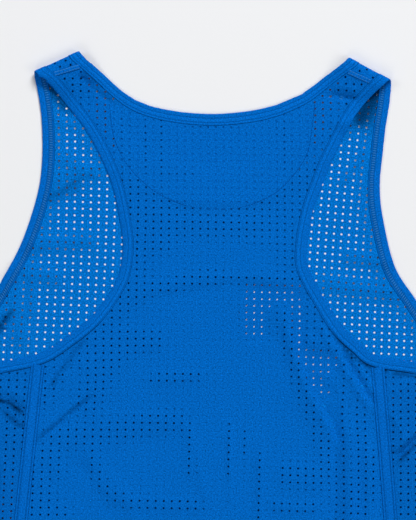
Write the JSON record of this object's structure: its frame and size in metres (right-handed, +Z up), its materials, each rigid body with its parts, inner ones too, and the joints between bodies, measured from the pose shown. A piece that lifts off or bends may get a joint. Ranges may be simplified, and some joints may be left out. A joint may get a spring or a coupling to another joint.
{
  "type": "running singlet",
  "caption": "Sleeveless racerback running singlet of perforated knit, laid flat with its back up, with bound neck and armholes and taped side seams.",
  "frame": {"origin": "middle of the garment's outline, on the surface it lies on", "axes": "+Y towards the neck, +Z up out of the back of the garment, +X towards the picture's right"},
  "size_m": [0.531, 0.6992, 0.0116],
  "materials": {
    "front_knit": "matt perforated polyester knit",
    "back_knit": "matt perforated polyester knit",
    "facing_knit": "matt plain polyester knit",
    "binding_knit": "matt plain polyester knit",
    "tape_knit": "matt plain polyester knit"
  },
  "bodies": {
    "root": {"front_panel": "front_knit", "back_panel": "back_knit", "neck_facing": "facing_knit", "neck_binding": "binding_knit", "armhole_binding_left": "binding_knit", "armhole_binding_right": "binding_knit", "seam_tape_left": "tape_knit", "seam_tape_right": "tape_knit"}
  },
  "joints": []
}
